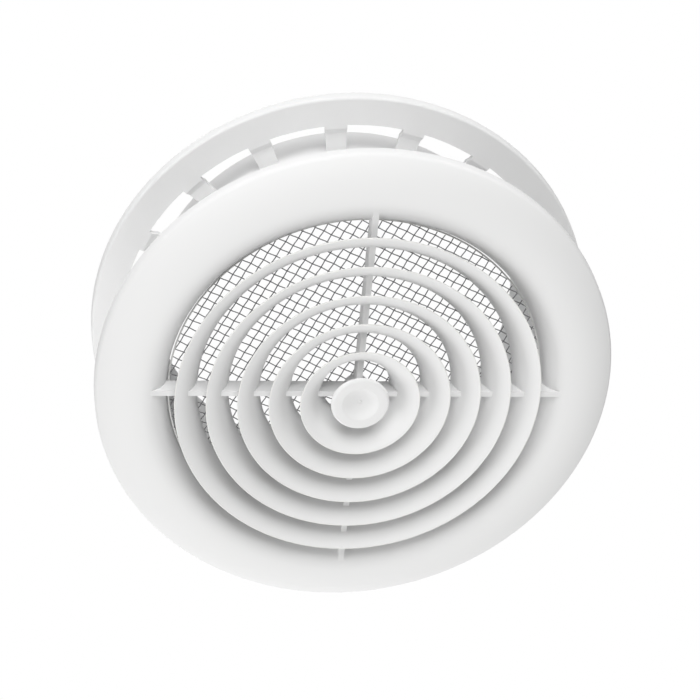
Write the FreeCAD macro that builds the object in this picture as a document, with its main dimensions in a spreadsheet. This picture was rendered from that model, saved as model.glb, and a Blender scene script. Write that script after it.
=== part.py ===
import FreeCAD, Part
import math
import os
import Sketcher

# Round ceiling vent: a moulded face with flared vanes and a tube, a net behind the vanes, a ring on the tube.
# Millimetres. Depths are counted from the button's front face, backwards into the ceiling, which is +Z.
# Each piece is then lowered so that the origin lies on the axis, at the shoulder of the tube's nose.

VANE_COUNT = 5

DRIVING = [
    ("duct_radius", 62.0, "outer radius of the tube, for a duct of 125 mm"),
    ("tube_wall", 2.2, "wall of the tube and of the face shell"),
    ("roll_radius", 8.5, "rounding from the throat to the crest of the face"),
    ("flare_width", 14.1, "crest of the face to its outer edge"),
    ("crest_depth", 5.7, "depth of the crest of the face"),
    ("dome_radius", 20.3, "curvature of the face from its crest to its rim"),
    ("rim_round", 2.5, "rounding from the face to the straight edge of its rim"),
    ("edge_height", 2.75, "straight edge at the rim of the face"),
    ("button_radius", 9.2, "outer radius of the centre button"),
    ("button_round", 1.0, "rounding of the button's front edge"),
    ("button_edge", 0.4, "straight edge of the button behind its rounding"),
    ("button_flare", 7.5, "depth over which the button narrows to its stem"),
    ("button_wall", 1.8, "wall of the stem and floor of the button"),
    ("stem_radius", 3.8, "outer radius of the button's stem"),
    ("dish_radius", 5.8, "mouth of the dish in the button"),
    ("dish_depth", 1.9, "depth of the dish"),
    ("gate_radius", 0.5, "moulding gate mark at the dish's centre"),
    ("gate_height", 0.3, "height of the gate mark"),
    ("vane_wall", 1.0, "wall of a vane at its back"),
    ("lip_edge", 0.6, "thickness of a vane at its lip"),
    ("flare_rise", 13.0, "depth behind a lip at which the curve of the flare would run straight back"),
    ("vane_slot", 1.5, "open width between a vane's back and the next lip, seen along the axis"),
    ("throat_slot", 1.75, "open width between the outermost lip and the throat"),
    ("first_lip_depth", 0.3, "depth of the innermost vane's lip"),
    ("lip_step", 0.64, "how much deeper each further lip lies"),
    ("rib_wall", 1.8, "thickness of a rib"),
    ("rib_set_back", 0.6, "depth of the ribs' front edges behind the crest of the face"),
    ("rib_height", 6.1, "height of the ribs, to the flat back of the grate"),
    ("panel_gap", 35.1, "space for a panel between the face's rim and the ring, at rest"),
    ("slide_gap", 0.3, "radial clearance of the ring on the tube"),
    ("finger_length", 9.9, "length of the ring's fingers, from its bore to the ends of the windows"),
    ("window_angle", 14.3, "angle that a window spans, in degrees"),
    ("window_phase", 14.1, "angle from the rib along X to a window's centre, in degrees"),
    ("window_count", 18, "windows round the ring"),
    ("step_inset", 1.2, "radial distance from the ends of the windows in to the step on the fingers"),
    ("step_run", 2.0, "radial run of the sloping step"),
    ("web_recess", 1.4, "how far the fingers are set back from the ring's face"),
    ("ring_land", 10.7, "width of the ring's flat face"),
    ("ring_wall", 1.8, "thickness of the ring's plate and rim"),
    ("ring_height", 3.7, "height of the ring's rim"),
    ("ring_round", 0.9, "rounding of the ring's outer front edge"),
    ("tube_margin", 4.0, "full-size tube left behind the ring at rest"),
    ("nose_step", 0.7, "how much smaller the nose's radius is than the tube's"),
    ("nose_length", 9.5, "length of the tube's nose"),
    ("nose_chamfer", 0.6, "lead-in at the end of the nose"),
    ("net_gap", 0.2, "clearance between the net and the vanes' backs"),
    ("net_clearance", 0.3, "radial clearance of the net in the throat"),
    ("net_pitch", 2.86, "spacing of the net's strands"),
    ("net_strand", 0.36, "width and thickness of a strand"),
    ("net_edge", 0.5, "solid border round the net"),
    ("net_angle", 26.1, "turn of the net from the rib along X, in degrees"),
]

DERIVED = [
    ("throat_radius", "duct_radius - tube_wall"),
    ("crest_radius", "throat_radius + roll_radius"),
    ("face_radius", "crest_radius + flare_width"),
    ("face_inner_radius", "face_radius - tube_wall"),
    ("roll_depth", "crest_depth + roll_radius"),
    ("rim_centre_radius", "face_radius - rim_round"),
    ("dome_reach", "rim_centre_radius - crest_radius"),
    ("dome_drop", "sqrt((dome_radius - rim_round) ^ 2 - dome_reach ^ 2)"),
    ("dome_end_radius", "crest_radius + dome_reach * dome_radius / (dome_radius - rim_round)"),
    ("dome_end_depth", "crest_depth + dome_radius * (1 - dome_drop / (dome_radius - rim_round))"),
    ("rim_depth", "crest_depth + dome_radius - dome_drop"),
    ("seat_depth", "rim_depth + edge_height"),
    ("crest_back_depth", "crest_depth + tube_wall"),
    ("dome_back_radius", "dome_radius - tube_wall"),
    ("dome_back_run", "flare_width - tube_wall"),
    ("dome_back_depth", "crest_depth + dome_radius - sqrt(dome_back_radius ^ 2 - dome_back_run ^ 2)"),
    ("outer_lip_radius", "throat_radius - throat_slot"),
    ("vane_pitch", f"(outer_lip_radius - button_radius) / {VANE_COUNT}"),
    ("flare_run", "vane_pitch - vane_slot"),
    ("flare_radius", "(flare_run ^ 2 + flare_rise ^ 2) / (2 * flare_run)"),
    ("rib_depth", "crest_depth + rib_set_back"),
    ("grate_depth", "rib_depth + rib_height"),
    ("rib_end_radius", "roll_radius - tube_wall / 12"),
    ("rib_front_reach", "crest_radius - sqrt(rib_end_radius ^ 2 - (roll_depth - rib_depth) ^ 2)"),
    ("rib_back_reach", "crest_radius - sqrt(rib_end_radius ^ 2 - (roll_depth - grate_depth) ^ 2)"),
    ("rib_root_radius", "stem_radius - button_wall / 2"),
    ("button_flat_radius", "button_radius - button_round"),
    ("button_back_depth", "button_round + button_edge"),
    ("button_floor_depth", "dish_depth + button_wall"),
    ("stem_bore_radius", "stem_radius - button_wall"),
    ("stem_bend_depth", "button_back_depth + button_flare"),
    ("stem_run", "button_radius - stem_radius"),
    ("stem_centre", "stem_radius + (stem_run ^ 2 + button_flare ^ 2) / (2 * stem_run)"),
    ("gate_depth", "dish_depth - gate_height"),
    ("bore_radius", "duct_radius + slide_gap"),
    ("window_inner_radius", "bore_radius - ring_wall"),
    ("window_outer_radius", "bore_radius + finger_length"),
    ("window_start", "window_phase - window_angle / 2"),
    ("window_stop", "window_phase + window_angle / 2"),
    ("window_inner_start_x", "window_inner_radius * cos(window_start)"),
    ("window_inner_start_y", "window_inner_radius * sin(window_start)"),
    ("window_inner_stop_x", "window_inner_radius * cos(window_stop)"),
    ("window_inner_stop_y", "window_inner_radius * sin(window_stop)"),
    ("window_outer_start_x", "window_outer_radius * cos(window_start)"),
    ("window_outer_start_y", "window_outer_radius * sin(window_start)"),
    ("window_outer_stop_x", "window_outer_radius * cos(window_stop)"),
    ("window_outer_stop_y", "window_outer_radius * sin(window_stop)"),
    ("step_radius", "window_outer_radius - step_inset"),
    ("web_radius", "step_radius - step_run"),
    ("ring_radius", "step_radius + ring_land"),
    ("ring_inner_radius", "ring_radius - ring_wall"),
    ("ring_round_radius", "ring_radius - ring_round"),
    ("ring_depth", "seat_depth + panel_gap"),
    ("ring_round_depth", "ring_depth + ring_round"),
    ("plate_back_depth", "ring_depth + ring_wall"),
    ("web_depth", "ring_depth + web_recess"),
    ("web_back_depth", "web_depth + ring_wall"),
    ("ring_back_depth", "ring_depth + ring_height"),
    ("shoulder_depth", "ring_back_depth + tube_margin"),
    ("tube_end_depth", "shoulder_depth + nose_length"),
    ("nose_radius", "duct_radius - nose_step"),
    ("nose_end_radius", "nose_radius - nose_chamfer"),
    ("nose_chamfer_depth", "tube_end_depth - nose_chamfer"),
    ("net_depth", "grate_depth + net_gap"),
    ("net_radius", "throat_radius - net_clearance"),
]

for number in range(1, VANE_COUNT + 1):
    DERIVED += [
        (f"lip_radius_{number}", f"button_radius + {number} * vane_pitch"),
        (f"lip_depth_{number}", f"first_lip_depth + {number - 1} * lip_step"),
        (f"lip_back_depth_{number}", f"lip_depth_{number} + lip_edge"),
        (f"bend_depth_{number}", f"lip_depth_{number} + flare_rise"),
        (f"flare_centre_{number}", f"lip_radius_{number} - flare_run + flare_radius"),
        (
            f"vane_inner_{number}",
            f"flare_centre_{number} - sqrt(flare_radius ^ 2 - (bend_depth_{number} - grate_depth) ^ 2)",
        ),
        (f"vane_outer_{number}", f"vane_inner_{number} + vane_wall"),
    ]

doc = FreeCAD.newDocument("round_vent_cover")

# Sizes: the driving dimensions, then the places worked out from them
sheet = doc.addObject("Spreadsheet::Sheet", "Sizes")
for row, (alias, value, note) in enumerate(DRIVING, start=1):
    sheet.set(f"A{row}", note)
    sheet.set(f"B{row}", str(value))
    sheet.setAlias(f"B{row}", alias)
for row, (alias, formula) in enumerate(DERIVED, start=len(DRIVING) + 1):
    sheet.set(f"B{row}", "=" + formula)
    sheet.setAlias(f"B{row}", alias)
doc.recompute()


def size(alias):
    """The value of a named size, where None stands for zero."""
    return 0.0 if alias is None else float(sheet.get(alias))


def new_body(label):
    """A body whose datum, the button's face, hangs below the origin by the depth of the tube's shoulder."""
    body = doc.addObject("PartDesign::Body", label)
    body.Label = label
    body.setExpression("Placement.Base.z", "-Sizes.shoulder_depth")
    return body


def hold(sketch, kind, geometry, end, alias):
    """Ties one coordinate of a sketch point to a named size, or puts the point on the sketch's axis."""
    if alias is None:
        axis = -2 if kind == "DistanceX" else -1
        sketch.addConstraint(Sketcher.Constraint("PointOnObject", geometry, end, axis))
        return
    index = sketch.addConstraint(Sketcher.Constraint(kind, -1, 1, geometry, end, size(alias)))
    sketch.setExpression(f"Constraints[{index}]", "Sizes." + alias)


def arc_between(start, stop, centre_x, turn):
    """The arc from start to stop about a centre with the given x, anticlockwise or clockwise."""
    squares = (stop.x**2 + stop.y**2 - start.x**2 - start.y**2) / 2
    centre_y = (squares - centre_x * (stop.x - start.x)) / (stop.y - start.y)
    centre = FreeCAD.Vector(centre_x, centre_y, 0)
    first, last = (start, stop) if turn == "anticlockwise" else (stop, start)
    angles = [math.atan2(point.y - centre_y, point.x - centre_x) for point in (first, last)]
    circle = Part.Circle(centre, FreeCAD.Vector(0, 0, 1), centre.distanceToPoint(start))
    return Part.ArcOfCircle(circle, *angles)


def outline(body, name, plane, corners, arcs):
    """A closed sketch on one of the body's own planes, with every corner held by two named sizes.

    arcs gives, for the number of the corner that a round stretch starts from, the size that holds
    its centre's x, and the way that it turns. All other stretches are straight.
    """
    sketch = body.newObject("Sketcher::SketchObject", name)
    planes = {feature.Role: feature for feature in body.Origin.OriginFeatures}
    sketch.AttachmentSupport = (planes[plane], [""])
    sketch.MapMode = "FlatFace"
    points = [FreeCAD.Vector(size(x), size(y), 0) for x, y in corners]
    stretches = []
    for number, start in enumerate(points):
        stop = points[(number + 1) % len(points)]
        if number in arcs:
            centre_alias, turn = arcs[number]
            geometry = sketch.addGeometry(arc_between(start, stop, size(centre_alias), turn), False)
            stretches.append((geometry, 1, 2) if turn == "anticlockwise" else (geometry, 2, 1))
        else:
            geometry = sketch.addGeometry(Part.LineSegment(start, stop), False)
            stretches.append((geometry, 1, 2))
    for number, (geometry, first, last) in enumerate(stretches):
        following, following_first, _ = stretches[(number + 1) % len(stretches)]
        sketch.addConstraint(Sketcher.Constraint("Coincident", geometry, last, following, following_first))
        hold(sketch, "DistanceX", geometry, first, corners[number][0])
        hold(sketch, "DistanceY", geometry, first, corners[number][1])
        if number in arcs:
            hold(sketch, "DistanceX", geometry, 3, arcs[number][0])
    return sketch


def turned(body, name, corners, arcs):
    """Adds the solid that a section, drawn as radius and depth, makes when it is turned about the axis."""
    section = outline(body, name + "_section", "XZ_Plane", corners, arcs)
    solid = body.newObject("PartDesign::Revolution", name)
    solid.Profile = section
    solid.ReferenceAxis = (section, ["V_Axis"])
    solid.Angle = 360
    body.Tip = solid
    doc.recompute()
    return solid


def repeated(body, name, original, axis, count):
    """Repeats a feature evenly round the axis. The count is a number or a named size."""
    pattern = body.newObject("PartDesign::PolarPattern", name)
    pattern.Originals = [original]
    pattern.Axis = axis
    pattern.Angle = 360
    pattern.setExpression("Occurrences", count)
    body.Tip = pattern
    doc.recompute()
    return pattern


# Face grille, one moulding: first the shell, which is the tube, its nose, the throat and the domed face
grille = new_body("face_grille")
turned(
    grille,
    "shell",
    [
        ("throat_radius", "tube_end_depth"),
        ("throat_radius", "roll_depth"),
        ("crest_radius", "crest_depth"),
        ("dome_end_radius", "dome_end_depth"),
        ("face_radius", "rim_depth"),
        ("face_radius", "seat_depth"),
        ("face_inner_radius", "seat_depth"),
        ("face_inner_radius", "dome_back_depth"),
        ("crest_radius", "crest_back_depth"),
        ("duct_radius", "roll_depth"),
        ("duct_radius", "shoulder_depth"),
        ("nose_radius", "shoulder_depth"),
        ("nose_radius", "nose_chamfer_depth"),
        ("nose_end_radius", "tube_end_depth"),
    ],
    {
        1: ("crest_radius", "anticlockwise"),
        2: ("crest_radius", "anticlockwise"),
        3: ("rim_centre_radius", "anticlockwise"),
        7: ("crest_radius", "clockwise"),
        8: ("crest_radius", "clockwise"),
    },
)

# Four ribs in a cross, from the button's stem into the rounded wall of the throat
rib_section = outline(
    grille,
    "rib_section",
    "XZ_Plane",
    [
        ("rib_root_radius", "rib_depth"),
        ("rib_front_reach", "rib_depth"),
        ("rib_back_reach", "grate_depth"),
        ("rib_root_radius", "grate_depth"),
    ],
    {1: ("crest_radius", "clockwise")},
)
rib = grille.newObject("PartDesign::Pad", "rib")
rib.Profile = rib_section
rib.SideType = "Symmetric"
rib.setExpression("Length", "Sizes.rib_wall")
grille.Tip = rib
doc.recompute()
repeated(grille, "ribs", rib, (rib_section, ["V_Axis"]), "4")

# Five vanes, flared outwards like trumpets from the flat back of the grate, and thinner towards the lip
for number in range(1, VANE_COUNT + 1):
    lip = f"lip_radius_{number}"
    turned(
        grille,
        f"vane_{number}",
        [
            (lip, f"lip_depth_{number}"),
            (lip, f"lip_back_depth_{number}"),
            (f"vane_outer_{number}", "grate_depth"),
            (f"vane_inner_{number}", "grate_depth"),
        ],
        {
            1: (f"flare_centre_{number}", "clockwise"),
            3: (f"flare_centre_{number}", "anticlockwise"),
        },
    )

# Centre button: a cap on a hollow stem, with a round dish in its face and the gate mark in the dish
turned(
    grille,
    "button",
    [
        (None, "gate_depth"),
        ("gate_radius", "gate_depth"),
        ("gate_radius", "dish_depth"),
        ("dish_radius", None),
        ("button_flat_radius", None),
        ("button_radius", "button_round"),
        ("button_radius", "button_back_depth"),
        ("stem_radius", "stem_bend_depth"),
        ("stem_radius", "grate_depth"),
        ("stem_bore_radius", "grate_depth"),
        ("stem_bore_radius", "button_floor_depth"),
        (None, "button_floor_depth"),
    ],
    {
        2: (None, "clockwise"),
        4: ("button_flat_radius", "anticlockwise"),
        6: ("stem_centre", "clockwise"),
    },
)

# Mounting ring: flat face, rim turned back, and a circle of recessed fingers that reach in to the tube.
# It is turned as one plate, and the windows then part the fingers and run out into the bore.
ring = new_body("mounting_ring")
turned(
    ring,
    "ring",
    [
        ("bore_radius", "web_depth"),
        ("web_radius", "web_depth"),
        ("step_radius", "ring_depth"),
        ("ring_round_radius", "ring_depth"),
        ("ring_radius", "ring_round_depth"),
        ("ring_radius", "ring_back_depth"),
        ("ring_inner_radius", "ring_back_depth"),
        ("ring_inner_radius", "plate_back_depth"),
        ("step_radius", "plate_back_depth"),
        ("web_radius", "web_back_depth"),
        ("bore_radius", "web_back_depth"),
    ],
    {3: ("ring_round_radius", "anticlockwise")},
)
window_outline = outline(
    ring,
    "window_outline",
    "XY_Plane",
    [
        ("window_inner_start_x", "window_inner_start_y"),
        ("window_outer_start_x", "window_outer_start_y"),
        ("window_outer_stop_x", "window_outer_stop_y"),
        ("window_inner_stop_x", "window_inner_stop_y"),
    ],
    {1: (None, "anticlockwise"), 3: (None, "clockwise")},
)
window = ring.newObject("PartDesign::Pocket", "window")
window.Profile = window_outline
window.Type = "ThroughAll"
window.Reversed = True
ring.Tip = window
doc.recompute()
repeated(ring, "windows", window, (window_outline, ["N_Axis"]), "Sizes.window_count")


def net_strip(row, disc, opening):
    """The skin of one row of the net, from mid-strand to mid-strand, open towards the rows beside it."""
    pitch = size("net_pitch")
    strand = size("net_strand")
    reach = disc.BoundBox.XLength
    low = (row - 0.5) * pitch
    band = Part.makePlane(2 * reach, pitch, FreeCAD.Vector(-reach, low, 0)).common(disc)
    clear = Part.makePlane(2 * reach, pitch - strand, FreeCAD.Vector(-reach, low + strand / 2, 0))
    gap = clear.common(opening)
    if gap.Faces:
        columns = math.ceil(reach / pitch)
        crossing = [
            Part.makePlane(strand, pitch, FreeCAD.Vector((column + 0.5) * pitch - strand / 2, low, 0))
            for column in range(-columns, columns)
        ]
        band = band.cut(gap.cut(Part.makeCompound(crossing)))
    strip = band.Faces[0].extrude(FreeCAD.Vector(0, 0, strand))
    skin = []
    for face in strip.Faces:
        box = face.BoundBox
        from_middle = abs(box.Center.y - row * pitch)
        if box.YLength > strand / 100 or abs(from_middle - pitch / 2) > strand / 100:
            skin.append(face)
    return skin


# Insect screen: strands both ways, joined where they cross, cut to a disc that fits inside the throat
net_disc = Part.Face(Part.Wire(Part.makeCircle(size("net_radius"))))
net_opening = Part.Face(Part.Wire(Part.makeCircle(size("net_radius") - size("net_edge"))))
last_row = math.floor(size("net_radius") / size("net_pitch") + 0.5)
net_skin = []
for row in range(-last_row, last_row + 1):
    net_skin += net_strip(row, net_disc, net_opening)
net_shell = Part.makeCompound(net_skin)
net_shell.sewShape()
screen = doc.addObject("Part::Feature", "insect_screen")
screen.Label = "insect_screen"
screen.Shape = Part.Solid(net_shell.Shells[0])
screen.Placement = FreeCAD.Placement(
    FreeCAD.Vector(0, 0, size("net_depth") - size("shoulder_depth")),
    FreeCAD.Rotation(FreeCAD.Vector(0, 0, 1), size("net_angle")),
)
doc.recompute()

# Every feature has to have worked, and every piece has to be one sound solid, before anything is written
for item in doc.Objects:
    if "Invalid" in item.State or "Error" in item.State:
        raise RuntimeError(f"{item.Name} did not build: {item.State}")
pieces = [grille, ring, screen]
for piece in pieces:
    shape = piece.Shape
    if shape.isNull() or not shape.isValid() or len(shape.Solids) != 1:
        raise RuntimeError(f"{piece.Label} is not one sound solid")

os.makedirs("parts", exist_ok=True)
for piece in pieces:
    piece.Shape.exportStep(f"parts/{piece.Label}.step")
    print(piece.Label, round(piece.Shape.Volume, 1), piece.Shape.optimalBoundingBox())
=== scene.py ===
import math

import bmesh
import bpy
from mathutils import Matrix, Vector


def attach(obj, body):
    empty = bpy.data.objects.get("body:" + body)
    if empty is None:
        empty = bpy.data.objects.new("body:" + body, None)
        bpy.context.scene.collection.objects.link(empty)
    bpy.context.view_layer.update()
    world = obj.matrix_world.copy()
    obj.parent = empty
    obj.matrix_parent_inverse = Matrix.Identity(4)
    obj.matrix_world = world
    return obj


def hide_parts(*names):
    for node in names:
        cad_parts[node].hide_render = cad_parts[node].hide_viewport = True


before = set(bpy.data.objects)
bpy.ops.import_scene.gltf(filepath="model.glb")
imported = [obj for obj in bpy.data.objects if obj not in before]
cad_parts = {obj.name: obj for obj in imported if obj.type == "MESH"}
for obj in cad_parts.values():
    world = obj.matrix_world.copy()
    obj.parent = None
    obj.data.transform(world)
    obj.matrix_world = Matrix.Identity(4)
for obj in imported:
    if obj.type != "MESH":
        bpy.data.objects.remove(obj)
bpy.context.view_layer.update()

bpy.context.scene.view_settings.view_transform = "Standard"


# Face grille
# One injection moulding of white polystyrene: tube, round throat, domed face, flared vanes, ribs and button.
# All but the ribs are bodies of revolution, so each part is drawn as a section and turned about the axis.

MM = 0.001
WELD = MM / 1000  # points nearer than this are one
BUTTON_PLANE = -58.049  # height of the button's front face in the shared frame; depths count from it
TURN_STEPS = 192
ARC_STEP = math.radians(5)
CORNER_ANGLE = math.radians(28)  # a section that bends by more than this has a corner
SMOOTH_ANGLE = math.radians(32)  # faces that meet at less than this are shaded as one surface

FACE_WALL = 2.2
TUBE_INSIDE = 59.8
TUBE_OUTSIDE = 62.0
TUBE_SHOULDER = 58.049
NOSE_RADIUS = 61.3
NOSE_END = 67.549
NOSE_CHAMFER = 0.6
THROAT_DEPTH = 14.2  # where the tube begins to roll outwards
CREST_RADIUS = 68.3
CREST_DEPTH = 5.7
DOME_END = (81.529, 10.603)  # where the dome runs into the rim's round
RIM_RADIUS = 82.4
RIM_INSIDE = RIM_RADIUS - FACE_WALL
RIM_ROUND = 2.5
RIM_ROUND_END = 12.499
RIM_HOLLOW = 12.362  # depth of the hollow's floor beside the rim
RIM_BACK = 15.249
FACE_EDGE_ROUND = 0.25

VANE_LIPS = (18.97, 28.74, 38.51, 48.28, 58.05)  # radius of each lip's edge
FIRST_LIP_DEPTH = 0.3
LIP_STEP = 0.64
LIP_EDGE = 0.6
LIP_ROUND = 0.45
VANE_WALL = 1.0  # at the back
VANE_BACK_ROUND = 0.12
FLARE_RUN = 8.27
FLARE_RISE = 13.0
FLARE_RADIUS = (FLARE_RUN**2 + FLARE_RISE**2) / (2 * FLARE_RUN)
GRATE_BACK = 12.4

BUTTON_RADIUS = 9.2
BUTTON_ROUND = 1.0
BUTTON_EDGE = 1.4  # depth at which the button begins to narrow
BUTTON_EDGE_ROUND = 0.2
BUTTON_BACK_CENTRE = 11.708  # centre of the hollow curve behind the button
DISH_RADIUS = 5.8
DISH_DEPTH = 1.9
GATE_RADIUS = 0.5  # the moulding mark in the dish
GATE_RISE = 0.3
STEM_RADIUS = 3.8
STEM_START = 8.9
STEM_BORE = 2.0
STEM_BORE_FLOOR = 3.7

RIB_FRONT = 6.3
RIB_WALL = 1.8
RIB_ROUND = 0.3
RIB_START = 2.9  # inside the stem's wall
RIB_END_FRONT = 65.7  # inside the throat's wall, whose curve it follows
RIB_END_BACK = 60.18
RIB_COUNT = 4


def place(radius, depth):
    """A point of a section, from its radius and its depth behind the button's face, both in millimetres."""
    return Vector((radius, 0, depth + BUTTON_PLANE)) * MM


def pick(*pieces):
    """Selects these pieces alone, with the first as the one that is worked on."""
    bpy.ops.object.select_all(action="DESELECT")
    for piece in pieces:
        piece.select_set(True)
    bpy.context.view_layer.objects.active = pieces[0]


def draw_section(name, start, steps):
    """Draws a line: a point is extruded straight on, or swung round a centre, to each next place.

    A step is (radius, depth), or (radius, depth, centre radius) for an arc.
    """
    bpy.ops.object.select_all(action="DESELECT")
    bpy.ops.mesh.primitive_plane_add(size=MM)
    bpy.context.object.name = name
    bpy.ops.object.mode_set(mode="EDIT")
    bpy.ops.mesh.merge(type="CENTER")
    here = place(*start)
    bpy.ops.transform.translate(value=here)
    for step in steps:
        there = place(*step[:2])
        if len(step) == 2:
            bpy.ops.mesh.extrude_vertices_move(TRANSFORM_OT_translate={"value": there - here})
        else:
            across = step[2] * MM
            squares = (there.length_squared - here.length_squared) / 2
            centre = Vector((across, 0, (squares - across * (there.x - here.x)) / (there.z - here.z)))
            before, after = here - centre, there - centre
            swing = math.atan2(after.z, after.x) - math.atan2(before.z, before.x)
            swing = (swing + math.pi) % math.tau - math.pi
            count = max(5, round(abs(swing) / ARC_STEP))
            bpy.ops.mesh.spin(steps=count, angle=swing, center=centre, axis=(0, 1, 0))
        here = there
    bpy.ops.mesh.select_all(action="SELECT")
    bpy.ops.mesh.remove_doubles(threshold=WELD)


def round_corners(radius, ahead_of=math.inf, segments=3):
    """Rounds the corners of the section that is being drawn, as a mould's edges are, down to a depth."""
    mesh = bmesh.from_edit_mesh(bpy.context.object.data)
    for corner in mesh.verts:
        edges = corner.link_edges
        sharp = False
        if len(edges) == 2:
            ways = [edge.other_vert(corner).co - corner.co for edge in edges]
            sharp = math.pi - ways[0].angle(ways[1]) > CORNER_ANGLE
            sharp = sharp and corner.co.z < (ahead_of + BUTTON_PLANE) * MM
        corner.select_set(sharp)
    mesh.select_flush_mode()
    bmesh.update_edit_mesh(bpy.context.object.data)
    bpy.ops.mesh.bevel(offset=radius * MM, segments=segments, affect="VERTICES")


def turn_section():
    """Turns the drawn section once round the axis, into a closed skin that faces outwards."""
    bpy.ops.mesh.select_all(action="SELECT")
    bpy.ops.mesh.spin(steps=TURN_STEPS, angle=math.tau, center=(0, 0, 0), axis=(0, 0, 1))
    bpy.ops.mesh.select_all(action="SELECT")
    bpy.ops.mesh.remove_doubles(threshold=WELD)
    bpy.ops.mesh.normals_make_consistent(inside=False)
    bpy.ops.object.mode_set(mode="OBJECT")
    return bpy.context.object


def combine(piece, operation, tool):
    """Joins a tool to the piece, or cuts it away, and removes the tool."""
    pick(piece)
    modifier = piece.modifiers.new(operation.lower(), "BOOLEAN")
    modifier.operation = operation
    modifier.solver = "MANIFOLD"
    modifier.object = tool
    bpy.ops.object.modifier_apply(modifier=modifier.name)
    bpy.data.objects.remove(tool)


draw_section(
    "face_moulding",
    (TUBE_INSIDE, NOSE_END),
    [
        (TUBE_INSIDE, THROAT_DEPTH),
        (CREST_RADIUS, CREST_DEPTH, CREST_RADIUS),
        (*DOME_END, CREST_RADIUS),
        (RIM_RADIUS, RIM_ROUND_END, RIM_RADIUS - RIM_ROUND),
        (RIM_RADIUS, RIM_BACK),
        (RIM_INSIDE, RIM_BACK),
        (RIM_INSIDE, RIM_HOLLOW),
        (CREST_RADIUS, CREST_DEPTH + FACE_WALL, CREST_RADIUS),
        (TUBE_OUTSIDE, THROAT_DEPTH, CREST_RADIUS),
        (TUBE_OUTSIDE, TUBE_SHOULDER),
        (NOSE_RADIUS, TUBE_SHOULDER),
        (NOSE_RADIUS, NOSE_END - NOSE_CHAMFER),
        (NOSE_RADIUS - NOSE_CHAMFER, NOSE_END),
        (TUBE_INSIDE, NOSE_END),
    ],
)
round_corners(FACE_EDGE_ROUND)
face = turn_section()

turned_parts = [face]
for number, lip in enumerate(VANE_LIPS):
    front = FIRST_LIP_DEPTH + number * LIP_STEP
    centre = lip - FLARE_RUN + FLARE_RADIUS
    inner = centre - math.sqrt(FLARE_RADIUS**2 - (front + FLARE_RISE - GRATE_BACK) ** 2)
    outer = inner + VANE_WALL
    draw_section(
        f"vane_{number + 1}",
        (lip, front),
        [
            (lip, front + LIP_EDGE),
            (outer, GRATE_BACK, centre),
            (inner, GRATE_BACK),
            (lip, front, centre),
        ],
    )
    round_corners(LIP_ROUND, ahead_of=front + LIP_EDGE / 2, segments=6)
    round_corners(VANE_BACK_ROUND)
    turned_parts.append(turn_section())

draw_section(
    "button",
    (0, DISH_DEPTH - GATE_RISE),
    [
        (GATE_RADIUS, DISH_DEPTH - GATE_RISE),
        (GATE_RADIUS, DISH_DEPTH),
        (DISH_RADIUS, 0, 0),
        (BUTTON_RADIUS - BUTTON_ROUND, 0),
        (BUTTON_RADIUS, BUTTON_ROUND, BUTTON_RADIUS - BUTTON_ROUND),
        (BUTTON_RADIUS, BUTTON_EDGE),
        (STEM_RADIUS, STEM_START, BUTTON_BACK_CENTRE),
        (STEM_RADIUS, GRATE_BACK),
        (STEM_BORE, GRATE_BACK),
        (STEM_BORE, STEM_BORE_FLOOR),
        (0, STEM_BORE_FLOOR),
    ],
)
round_corners(BUTTON_EDGE_ROUND)
turned_parts.append(turn_section())
pick(*turned_parts)
bpy.ops.object.join()

draw_section(
    "ribs",
    (RIB_START, RIB_FRONT),
    [
        (RIB_END_FRONT, RIB_FRONT),
        (RIB_END_BACK, GRATE_BACK, CREST_RADIUS),
        (RIB_START, GRATE_BACK),
        (RIB_START, RIB_FRONT),
    ],
)
bpy.ops.mesh.edge_face_add()
bpy.ops.transform.translate(value=(0, -RIB_WALL / 2 * MM, 0))
bpy.ops.mesh.extrude_region_move(TRANSFORM_OT_translate={"value": (0, RIB_WALL * MM, 0)})
bpy.ops.mesh.select_all(action="SELECT")
bpy.ops.mesh.normals_make_consistent(inside=False)
mesh = bmesh.from_edit_mesh(bpy.context.object.data)
for edge in mesh.edges:  # the two long front edges
    along = abs(edge.verts[0].co.y - edge.verts[1].co.y) < MM / 100 and edge.calc_length() > 5 * MM
    at_front = all(end.co.z < place(0, RIB_FRONT + 1).z for end in edge.verts)
    edge.select_set(along and at_front)
mesh.select_flush_mode()
bmesh.update_edit_mesh(bpy.context.object.data)
bpy.ops.mesh.bevel(offset=RIB_ROUND * MM, segments=3, affect="EDGES")
bpy.ops.mesh.select_all(action="SELECT")
bpy.ops.mesh.spin(
    steps=RIB_COUNT - 1,
    angle=math.tau * (RIB_COUNT - 1) / RIB_COUNT,
    center=(0, 0, 0),
    axis=(0, 0, 1),
    dupli=True,
)
bpy.ops.object.mode_set(mode="OBJECT")
combine(face, "UNION", bpy.context.object)
pick(face)
bpy.ops.object.shade_smooth_by_angle(angle=SMOOTH_ANGLE)


def linear(hex_colour):
    """An sRGB hex colour as the linear colour that a shader takes."""
    parts = [int(hex_colour[index:index + 2], 16) / 255 for index in (1, 3, 5)]
    return [*(c / 12.92 if c <= 0.04045 else ((c + 0.055) / 1.055) ** 2.4 for c in parts), 1]


def add_node(tree, kind, settings, links):
    """Adds a node. Settings are its properties or its inputs' values, and links are what feeds its inputs."""
    node = tree.nodes.new(kind)
    for key, value in settings.items():
        if key in node.inputs:
            node.inputs[key].default_value = value
        else:
            setattr(node, key, value)
    for key, source in links.items():
        tree.links.new(source, node.inputs[key])
    return node


CLOUD_SIZE = 45
SHEEN_PATCH_SIZE = 9
GRAIN_SIZE = 0.7  # coarser than the real grain of the mould, so that it shows
GRAIN_HEIGHT = 0.02


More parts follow.
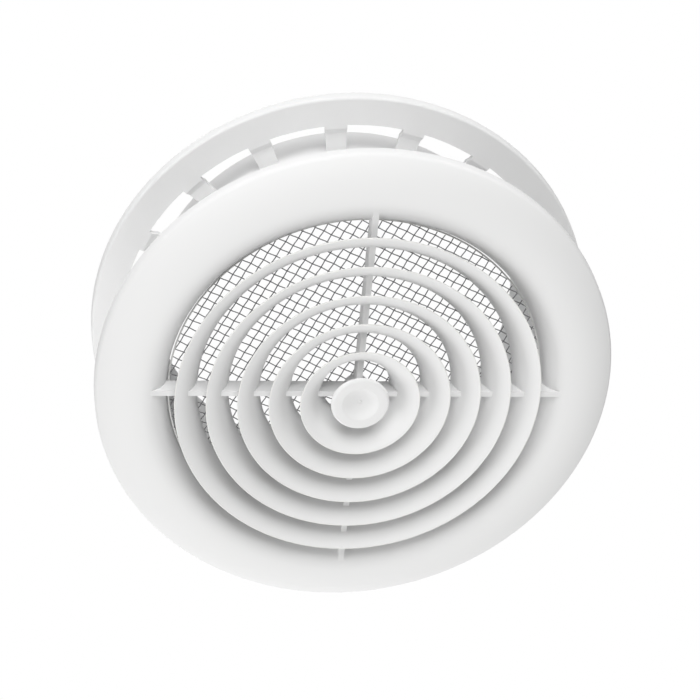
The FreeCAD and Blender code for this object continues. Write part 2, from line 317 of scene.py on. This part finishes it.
def white_polystyrene(name, dark_tone, light_tone):
    """Moulded white polystyrene: an even satin sheen from a fine-blasted mould, faintly clouded in tone."""
    material = bpy.data.materials.new(name)
    material.use_nodes = True
    tree = material.node_tree
    shader = tree.nodes["Principled BSDF"]
    shader.inputs["IOR"].default_value = 1.55
    places = add_node(tree, "ShaderNodeTexCoord", {}, {}).outputs["Object"]
    clouds = add_node(
        tree, "ShaderNodeTexNoise", {"Scale": 1 / (CLOUD_SIZE * MM), "Detail": 3.0}, {"Vector": places}
    )
    tone = add_node(tree, "ShaderNodeValToRGB", {}, {"Fac": clouds.outputs["Fac"]})
    tone.color_ramp.elements[0].position = 0.35
    tone.color_ramp.elements[0].color = linear(dark_tone)
    tone.color_ramp.elements[1].position = 0.65
    tone.color_ramp.elements[1].color = linear(light_tone)
    tree.links.new(tone.outputs["Color"], shader.inputs["Base Color"])
    sheen_patches = add_node(
        tree, "ShaderNodeTexNoise", {"Scale": 1 / (SHEEN_PATCH_SIZE * MM), "Detail": 2.0}, {"Vector": places}
    )
    roughness = add_node(
        tree, "ShaderNodeMapRange", {"To Min": 0.32, "To Max": 0.42}, {"Value": sheen_patches.outputs["Fac"]}
    )
    tree.links.new(roughness.outputs["Result"], shader.inputs["Roughness"])
    grain = add_node(
        tree, "ShaderNodeTexNoise", {"Scale": 1 / (GRAIN_SIZE * MM), "Detail": 2.0}, {"Vector": places}
    )
    bump = add_node(
        tree,
        "ShaderNodeBump",
        {"Strength": 0.25, "Distance": GRAIN_HEIGHT * MM},
        {"Height": grain.outputs["Fac"]},
    )
    tree.links.new(bump.outputs["Normal"], shader.inputs["Normal"])
    return material


white = white_polystyrene("white_polystyrene", "#E0E0DE", "#E5E5E3")
# Painted highlight: the thin lips of the vanes are coloured lighter to stand in for the light they let
# through and the bright line along their edges.
painted_lip_highlight = white_polystyrene("white_polystyrene_painted_lip_highlight", "#F4F4F2", "#F8F8F6")
face.data.materials.append(white)
face.data.materials.append(painted_lip_highlight)
# Faces at the front of each vane's lip take the painted highlight.
for polygon in face.data.polygons:
    outwards = polygon.center.xy.length / MM
    depth = polygon.center.z / MM - BUTTON_PLANE
    for number, lip in enumerate(VANE_LIPS):
        if lip - LIP_ROUND < outwards < lip + 0.1 and depth < FIRST_LIP_DEPTH + number * LIP_STEP + LIP_EDGE:
            polygon.material_index = 1
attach(face, "face")
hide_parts("face_grille")


# Insect screen
# A dark net of thin coated threads, woven square, cut to a disc and welded into a narrow white rim.
# It lies flat against the backs of the vanes and ribs.

NET_DEPTH = 12.82  # depth of the net's middle
NET_RADIUS = 59.5
NET_PITCH = 2.86
NET_TURN = math.radians(26.1)
NET_COUNT = 44  # threads each way, before the disc is cut
THREAD_RADIUS = 0.18
THREAD_RISE = 0.185  # how far a thread swings to each side where it passes another
THREAD_STEPS = 4  # from one crossing to the next
THREAD_END = 0.2  # from the net's edge, within the rim
NET_RIM_WIDTH = 0.5
NET_RIM_HALF = 0.18  # half of the rim's thickness
NET_RIM_ROUND = 0.08

bpy.ops.object.select_all(action="DESELECT")
bpy.ops.mesh.primitive_circle_add(
    vertices=6, radius=THREAD_RADIUS * MM, location=(0, 0, THREAD_RISE * MM), rotation=(0, math.pi / 2, 0)
)
bpy.ops.object.transform_apply(location=True, rotation=True)
net = bpy.context.object
net.name = "insect_net"
bpy.ops.object.mode_set(mode="EDIT")
rises = [THREAD_RISE * math.cos(math.pi * step / THREAD_STEPS) for step in range(2 * THREAD_STEPS + 1)]
for before, after in zip(rises, rises[1:]):
    bpy.ops.mesh.extrude_region_move(
        TRANSFORM_OT_translate={"value": (NET_PITCH / THREAD_STEPS * MM, 0, (after - before) * MM)}
    )
bpy.ops.object.mode_set(mode="OBJECT")


def repeat(piece, count, step, welded):
    """Copies the piece along a line."""
    modifier = piece.modifiers.new("row", "ARRAY")
    modifier.count = count
    modifier.use_relative_offset = False
    modifier.use_constant_offset = True
    modifier.constant_offset_displace = step
    modifier.use_merge_vertices = welded
    modifier.merge_threshold = WELD
    bpy.ops.object.modifier_apply(modifier=modifier.name)


def join_copy(piece, *moves):
    """Joins a turned or shifted copy of the piece to it."""
    other = piece.copy()
    other.data = piece.data.copy()
    for move in moves:
        other.data.transform(move)
    bpy.context.scene.collection.objects.link(other)
    pick(piece, other)
    bpy.ops.object.join()


repeat(net, NET_COUNT // 2, (2 * NET_PITCH * MM, 0, 0), True)
bpy.ops.object.mode_set(mode="EDIT")
bpy.ops.mesh.select_all(action="DESELECT")
bpy.ops.mesh.select_non_manifold(extend=False)
bpy.ops.mesh.fill_holes(sides=6)
bpy.ops.mesh.select_all(action="SELECT")
bpy.ops.mesh.normals_make_consistent(inside=False)
bpy.ops.object.mode_set(mode="OBJECT")
half_width = NET_COUNT / 2 * NET_PITCH * MM
upside_down = Matrix.Rotation(math.pi, 4, "X")  # one thread passes over where the next passes under
net.data.transform(Matrix.Translation((-half_width, 0, 0)))
join_copy(net, upside_down, Matrix.Translation((0, NET_PITCH * MM, 0)))
repeat(net, NET_COUNT // 2, (0, 2 * NET_PITCH * MM, 0), False)
net.data.transform(Matrix.Translation((0, -half_width, 0)))
join_copy(net, Matrix.Rotation(math.pi / 2, 4, "Z"), upside_down)
net.data.transform(Matrix.Rotation(NET_TURN, 4, "Z"))
net.data.transform(Matrix.Translation(place(0, NET_DEPTH)))

bpy.ops.object.select_all(action="DESELECT")
bpy.ops.mesh.primitive_cylinder_add(
    vertices=TURN_STEPS, radius=(NET_RADIUS - THREAD_END) * MM, depth=4 * MM, location=place(0, NET_DEPTH)
)
bpy.ops.object.transform_apply(location=True)
combine(net, "INTERSECT", bpy.context.object)

draw_section(
    "net_rim",
    (NET_RADIUS, NET_DEPTH - NET_RIM_HALF),
    [
        (NET_RADIUS, NET_DEPTH + NET_RIM_HALF),
        (NET_RADIUS - NET_RIM_WIDTH, NET_DEPTH + NET_RIM_HALF),
        (NET_RADIUS - NET_RIM_WIDTH, NET_DEPTH - NET_RIM_HALF),
        (NET_RADIUS, NET_DEPTH - NET_RIM_HALF),
    ],
)
round_corners(NET_RIM_ROUND)
combine(net, "UNION", turn_section())
pick(net)
bpy.ops.object.shade_smooth_by_angle(angle=math.radians(50))

MOTTLE_SIZE = 3
coated_thread = bpy.data.materials.new("grey_coated_thread")  # a dull coat, a little uneven in its grey
coated_thread.use_nodes = True
tree = coated_thread.node_tree
shader = tree.nodes["Principled BSDF"]
shader.inputs["IOR"].default_value = 1.5
shader.inputs["Roughness"].default_value = 0.5
places = add_node(tree, "ShaderNodeTexCoord", {}, {}).outputs["Object"]
mottle = add_node(
    tree, "ShaderNodeTexNoise", {"Scale": 1 / (MOTTLE_SIZE * MM), "Detail": 2.0}, {"Vector": places}
)
greys = add_node(tree, "ShaderNodeValToRGB", {}, {"Fac": mottle.outputs["Fac"]})
greys.color_ramp.elements[0].position = 0.3
greys.color_ramp.elements[0].color = linear("#6E6E70")
greys.color_ramp.elements[1].position = 0.7
greys.color_ramp.elements[1].color = linear("#88888A")
tree.links.new(greys.outputs["Color"], shader.inputs["Base Color"])
net.data.materials.clear()
net.data.materials.append(coated_thread)
net.data.materials.append(white)
for polygon in net.data.polygons:
    polygon.material_index = int(polygon.center.xy.length > (NET_RADIUS - NET_RIM_WIDTH - 0.05) * MM)
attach(net, "face")
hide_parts("insect_screen")


# Mounting ring
# A second white moulding that slides along the tube and clamps the ceiling panel against the face.
# Its inner half is parted into short fingers, set back by a sloping step, that reach in to the tube.

RING_FRONT = 50.349
RING_BORE = 62.3
RING_RADIUS = 81.7
RING_WALL = 1.8
RING_HEIGHT = 3.7
RING_ROUND = 0.9
RING_EDGE_ROUND = 0.2
FINGER_RECESS = 1.4
STEP_FOOT = 69.0
STEP_HEAD = 71.0
WINDOW_RADIUS = 72.2
WINDOW_COUNT = 18
WINDOW_ANGLE = math.radians(14.3)
WINDOW_PHASE = math.radians(14.1)  # from X to the middle of the first window

finger_front = RING_FRONT + FINGER_RECESS
plate_back = RING_FRONT + RING_WALL
rim_back = RING_FRONT + RING_HEIGHT
draw_section(
    "ring_moulding",
    (RING_BORE, finger_front),
    [
        (STEP_FOOT, finger_front),
        (STEP_HEAD, RING_FRONT),
        (RING_RADIUS - RING_ROUND, RING_FRONT),
        (RING_RADIUS, RING_FRONT + RING_ROUND, RING_RADIUS - RING_ROUND),
        (RING_RADIUS, rim_back),
        (RING_RADIUS - RING_WALL, rim_back),
        (RING_RADIUS - RING_WALL, plate_back),
        (STEP_HEAD, plate_back),
        (STEP_FOOT, finger_front + RING_WALL),
        (RING_BORE, finger_front + RING_WALL),
        (RING_BORE, finger_front),
    ],
)
round_corners(RING_EDGE_ROUND)
ring = turn_section()

punch_front, punch_back, punch_inside = RING_FRONT - 2, RING_FRONT + 6, RING_BORE - 1.8
draw_section(
    "window_punch",
    (punch_inside, punch_front),
    [
        (WINDOW_RADIUS, punch_front),
        (WINDOW_RADIUS, punch_back),
        (punch_inside, punch_back),
        (punch_inside, punch_front),
    ],
)
bpy.ops.mesh.edge_face_add()
bpy.ops.mesh.spin(steps=8, angle=WINDOW_ANGLE, center=(0, 0, 0), axis=(0, 0, -1))
bpy.ops.mesh.select_all(action="SELECT")
bpy.ops.mesh.normals_make_consistent(inside=False)
bpy.ops.mesh.spin(
    steps=WINDOW_COUNT - 1,
    angle=math.tau * (WINDOW_COUNT - 1) / WINDOW_COUNT,
    center=(0, 0, 0),
    axis=(0, 0, -1),
    dupli=True,
)
bpy.ops.object.mode_set(mode="OBJECT")
punch = bpy.context.object
punch.data.transform(Matrix.Rotation(WINDOW_PHASE - WINDOW_ANGLE / 2, 4, "Z"))
combine(ring, "DIFFERENCE", punch)
pick(ring)
bpy.ops.object.shade_smooth_by_angle(angle=SMOOTH_ANGLE)
ring.data.materials.append(white)
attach(ring, "ring")
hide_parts("mounting_ring")


# Studio
# The vent hangs as it does in a ceiling and is seen from below, so the pale floor lies under the camera.
# Soft lamps stand all round it, two of them behind, and the surround shows as white.

bpy.ops.object.select_all(action="DESELECT")
bpy.ops.mesh.primitive_plane_add(size=8, location=(0, 0, -1.3))
floor = bpy.context.object
floor.name = "studio_floor"
paper = bpy.data.materials.new("pale_paper")
paper.use_nodes = True
paper.node_tree.nodes["Principled BSDF"].inputs["Base Color"].default_value = linear("#BCBCBA")
paper.node_tree.nodes["Principled BSDF"].inputs["Roughness"].default_value = 0.9
floor.data.materials.append(paper)

world = bpy.data.worlds.new("studio")
bpy.context.scene.world = world
world.use_nodes = True
tree = world.node_tree
surround = tree.nodes["Background"]
surround.inputs["Color"].default_value = (1, 1, 1, 1)
surround.inputs["Strength"].default_value = 0.15
seen = add_node(tree, "ShaderNodeBackground", {"Color": (1, 1, 1, 1), "Strength": 1.0}, {})
rays = add_node(tree, "ShaderNodeLightPath", {}, {}).outputs
first = add_node(
    tree, "ShaderNodeMath", {"operation": "MAXIMUM"}, {0: rays["Is Camera Ray"], 1: rays["Is Glossy Ray"]}
)
direct = add_node(
    tree, "ShaderNodeMath", {"operation": "MAXIMUM"}, {0: first.outputs[0], 1: rays["Is Transmission Ray"]}
)
both = add_node(
    tree, "ShaderNodeMixShader", {}, {0: direct.outputs[0], 1: surround.outputs[0], 2: seen.outputs[0]}
)
tree.links.new(both.outputs[0], tree.nodes["World Output"].inputs["Surface"])

LAMP_SIZE = 0.7
LAMP_AIM = Vector((0, 0, -0.03))


def add_lamp(name, position, power):
    """A square soft lamp that faces the vent."""
    light = bpy.data.lights.new(name, "AREA")
    light.size = LAMP_SIZE
    light.energy = power
    lamp = bpy.data.objects.new(name, light)
    lamp.location = position
    lamp.rotation_euler = (LAMP_AIM - Vector(position)).to_track_quat("-Z", "Y").to_euler()
    bpy.context.scene.collection.objects.link(lamp)


add_lamp("top", (-0.1, -1.0, -0.5), 9.7)
add_lamp("left", (-1.1, 0.1, -0.45), 5.4)
add_lamp("front", (-0.1, 0.8, -0.9), 4.4)
add_lamp("bottom", (0.0, 1.1, -0.3), 7.0)
add_lamp("right", (1.1, 0.0, -0.4), 3.2)
add_lamp("back_top", (-0.1, -1.1, 0.5), 5.0)
add_lamp("back_left", (-0.8, 0.7, 0.8), 6.0)

camera = bpy.data.objects.new("photo_camera", bpy.data.cameras.new("photo_camera"))
camera.data.sensor_width = 36
camera.data.lens = 128.57
camera.data.clip_start = 0.01
camera.location = (-0.122350, -0.422693, -0.703819)
camera.rotation_euler = [math.radians(angle) for angle in (147.7314, 7.2652, -4.92)]
bpy.context.scene.collection.objects.link(camera)
bpy.context.scene.camera = camera
